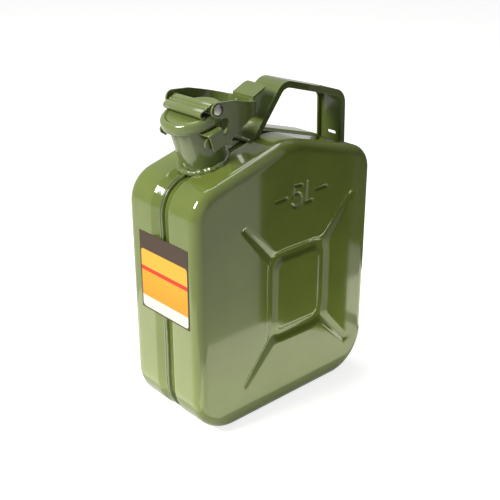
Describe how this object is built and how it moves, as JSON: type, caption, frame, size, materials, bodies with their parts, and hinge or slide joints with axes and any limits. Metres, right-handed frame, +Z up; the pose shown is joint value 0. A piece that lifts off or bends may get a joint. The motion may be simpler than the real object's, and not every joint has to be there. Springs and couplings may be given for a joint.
{
  "type": "fuel can",
  "caption": "Pressed-steel fuel can with a hinged cam-lever lid, a strap carrying handle, a round seam channel and a pressed cross on its wide faces.",
  "frame": {"origin": "centre of the bottom of the bounding box, on the floor under the can", "axes": "+Z up and along the longest extent, +Y across the thickness, the lid end at -X, the handle end at +X"},
  "size_m": [0.2354, 0.103, 0.3286],
  "materials": {
    "olive_enamel": "glossy olive green enamel",
    "zinc_steel": "zinc-plated steel",
    "bright_steel": "bare steel",
    "black_rubber": "black rubber",
    "label_film": "printed film with plain colour bands"
  },
  "bodies": {
    "can": {"near_half_shell": "olive_enamel", "far_half_shell": "olive_enamel", "seam_weld": "olive_enamel", "neck": "olive_enamel", "neck_weld": "olive_enamel", "mouth_rim": "olive_enamel", "breather_tube": "zinc_steel", "near_ear": "olive_enamel", "far_ear": "olive_enamel", "ear_welds": "olive_enamel", "hinge_bracket": "olive_enamel", "cap_hinge_pin": "bright_steel", "handle": "olive_enamel", "handle_welds": "olive_enamel", "label": "label_film"},
    "lid": {"cap_shell": "olive_enamel", "gasket": "black_rubber", "cap_plate": "zinc_steel", "cap_stud": "zinc_steel", "bridge": "olive_enamel", "lever_pivot_pin": "bright_steel", "pin_washer_near": "bright_steel", "pin_washer_far": "bright_steel", "cap_hinge_arm": "olive_enamel"},
    "lever_arm": {"lever": "olive_enamel", "thumb_tab": "olive_enamel", "tab_rivets": "bright_steel"}
  },
  "joints": [
    {"name": "lid_hinge", "type": "hinge", "parent": "can", "child": "lid", "pos_m": [-0.04002, 0, 0.30633], "axis": [0, 1, 0], "range_deg": [0, 50]},
    {"name": "lever_pivot", "type": "hinge", "parent": "lid", "child": "lever_arm", "pos_m": [-0.07371, 0, 0.3219], "axis": [0, 1, 0], "range_deg": [-125, 0]}
  ],
  "couplings": [
    {"joint": "lever_pivot", "follows": "lid_hinge", "ratio": -2.5}
  ]
}
